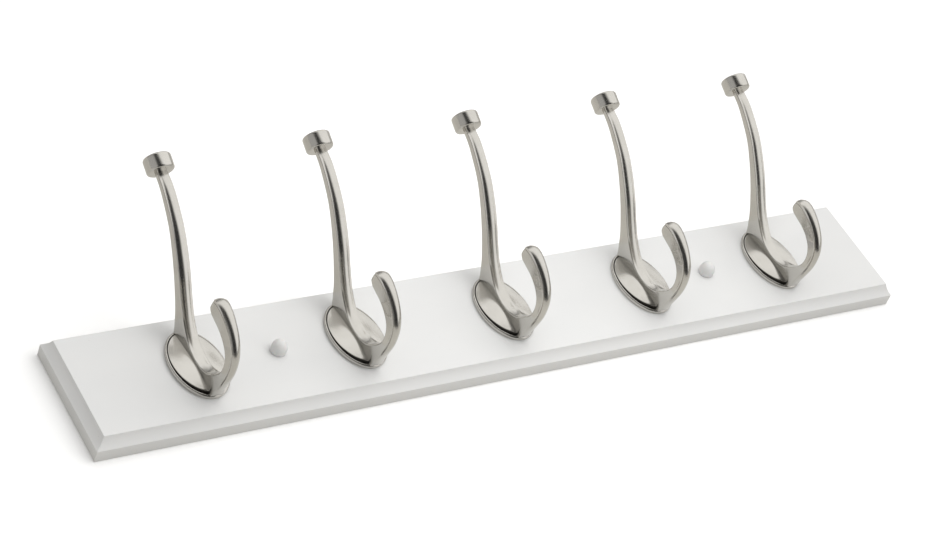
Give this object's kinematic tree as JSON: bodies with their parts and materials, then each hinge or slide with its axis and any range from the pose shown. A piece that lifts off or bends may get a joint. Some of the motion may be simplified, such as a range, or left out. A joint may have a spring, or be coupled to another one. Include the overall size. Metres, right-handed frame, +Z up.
{
  "type": "wall hook rack",
  "caption": "Wall rack: a white painted board with a cove-moulded edge, cast coat-and-hat hooks with round disc ends and oval base plates, and domed caps over the wall-screw holes.",
  "frame": {"origin": "centre of the board's back face, the face that lies on the wall", "axes": "+X along the board, +Y into the wall, +Z up the wall; the hooks stand out towards -Y"},
  "size_m": [0.686, 0.1142, 0.1673],
  "materials": {
    "board_paint": "fibreboard under smooth satin white paint",
    "satin_nickel": "satin nickel plate over a zinc casting",
    "zinc_steel": "bright zinc plate",
    "cap_plastic": "smooth satin white plastic"
  },
  "bodies": {
    "rack": {"backboard": "board_paint", "hook_1": "satin_nickel", "hook_2": "satin_nickel", "hook_3": "satin_nickel", "hook_4": "satin_nickel", "hook_5": "satin_nickel", "hook_screw_1_upper": "zinc_steel", "hook_screw_1_lower": "zinc_steel", "hook_screw_2_upper": "zinc_steel", "hook_screw_2_lower": "zinc_steel", "hook_screw_3_upper": "zinc_steel", "hook_screw_3_lower": "zinc_steel", "hook_screw_4_upper": "zinc_steel", "hook_screw_4_lower": "zinc_steel", "hook_screw_5_upper": "zinc_steel", "hook_screw_5_lower": "zinc_steel"},
    "cap_left": {"screw_cap_left": "cap_plastic"},
    "cap_right": {"screw_cap_right": "cap_plastic"}
  },
  "joints": [
    {"name": "cap_left_pull", "type": "slide", "parent": "rack", "child": "cap_left", "axis": [0, -1, 0], "range_m": [0, 0.012]},
    {"name": "cap_right_pull", "type": "slide", "parent": "rack", "child": "cap_right", "axis": [0, -1, 0], "range_m": [0, 0.012]}
  ]
}
